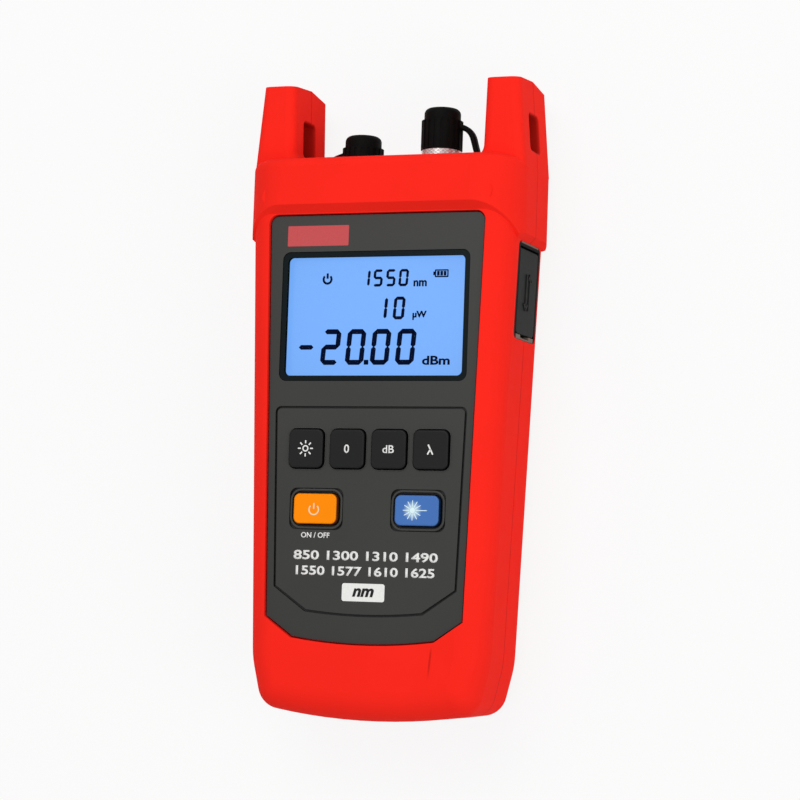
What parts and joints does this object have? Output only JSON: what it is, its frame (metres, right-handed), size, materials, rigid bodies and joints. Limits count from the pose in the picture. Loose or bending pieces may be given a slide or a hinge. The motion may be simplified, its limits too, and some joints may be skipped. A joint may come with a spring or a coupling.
{
  "type": "fibre optic tester",
  "caption": "Handheld optical tester in a moulded case with slotted ears: lit display, keypad, capped laser and detector ports and a hinged side door over its data socket.",
  "frame": {"origin": "under the middle of the case, on the surface that its back lies on", "axes": "+X to the right of the face, +Y up the case towards its ports, +Z out of the face"},
  "size_m": [0.0894, 0.197, 0.0425],
  "materials": {
    "case_red": "satin moulded red with a fine grain",
    "fascia_grey": "satin dark grey",
    "panel_grey": "satin dark grey film",
    "lens_clear": "clear window with a dark border",
    "display_blue": "lit blue with dark digits",
    "backlight_white": "milky diffuser",
    "seal_black": "soft black",
    "key_black": "satin black with pale legends",
    "key_orange": "satin orange with a dark sign",
    "key_blue": "satin blue with a pale sign",
    "mat_grey": "silicone rubber",
    "board_green": "solder-masked board",
    "chip_black": "moulded black",
    "port_nickel": "turned, nickel plated",
    "sleeve_white": "ground white",
    "module_metal": "turned",
    "cap_rubber": "soft black, ribbed",
    "door_rubber": "soft black",
    "frame_grey": "satin grey",
    "socket_steel": "stamped, plated",
    "cell_wrap": "plain wrapped cell",
    "contact_steel": "bright sprung steel",
    "screw_steel": "dark plated"
  },
  "bodies": {
    "case": {"backlight": "backlight_white", "battery_cells": "cell_wrap", "battery_contacts": "contact_steel", "battery_door": "case_red", "battery_door_screws": "screw_steel", "battery_door_seal": "seal_black", "battery_springs": "contact_steel", "board_chips": "chip_black", "board_screws": "screw_steel", "case_screws": "screw_steel", "detector_module": "module_metal", "detector_port": "port_nickel", "detector_sleeve": "sleeve_white", "detector_tether": "cap_rubber", "display_gasket": "seal_black", "display_glass": "display_blue", "display_lens": "lens_clear", "fascia": "fascia_grey", "front_shell": "case_red", "keypad_mat": "mat_grey", "keypad_panel": "panel_grey", "laser_module": "module_metal", "laser_port": "port_nickel", "laser_sleeve": "sleeve_white", "laser_tether": "cap_rubber", "main_board": "board_green", "rear_shell": "case_red", "usb_frame": "frame_grey", "usb_socket": "socket_steel"},
    "key_lamp": {"key_lamp": "key_black"},
    "key_zero": {"key_zero": "key_black"},
    "key_decibel": {"key_decibel": "key_black"},
    "key_wavelength": {"key_wavelength": "key_black"},
    "key_power": {"key_power": "key_orange"},
    "key_laser": {"key_laser": "key_blue"},
    "detector_cap": {"detector_cap": "cap_rubber"},
    "laser_cap": {"laser_cap": "cap_rubber"},
    "usb_door": {"usb_door": "door_rubber"}
  },
  "joints": [
    {"name": "key_lamp_press", "type": "slide", "parent": "case", "child": "key_lamp", "axis": [0, 0, -1], "range_m": [0, 0.0008], "stiffness_N_per_m": 1200},
    {"name": "key_zero_press", "type": "slide", "parent": "case", "child": "key_zero", "axis": [0, 0, -1], "range_m": [0, 0.0008], "stiffness_N_per_m": 1200},
    {"name": "key_decibel_press", "type": "slide", "parent": "case", "child": "key_decibel", "axis": [0, 0, -1], "range_m": [0, 0.0008], "stiffness_N_per_m": 1200},
    {"name": "key_wavelength_press", "type": "slide", "parent": "case", "child": "key_wavelength", "axis": [0, 0, -1], "range_m": [0, 0.0008], "stiffness_N_per_m": 1200},
    {"name": "key_power_press", "type": "slide", "parent": "case", "child": "key_power", "axis": [0, 0, -1], "range_m": [0, 0.0008], "stiffness_N_per_m": 1200},
    {"name": "key_laser_press", "type": "slide", "parent": "case", "child": "key_laser", "axis": [0, 0, -1], "range_m": [0, 0.0008], "stiffness_N_per_m": 1200},
    {"name": "laser_cap_pull", "type": "slide", "parent": "case", "child": "laser_cap", "axis": [0, 1, 0], "range_m": [0, 0.012]},
    {"name": "detector_cap_pull", "type": "slide", "parent": "case", "child": "detector_cap", "axis": [0, 1, 0], "range_m": [0, 0.008]},
    {"name": "usb_door_swing", "type": "hinge", "parent": "case", "child": "usb_door", "pos_m": [0.04175, 0.04523, 0.0195], "axis": [0, 0, 1], "range_deg": [0, 90]}
  ]
}
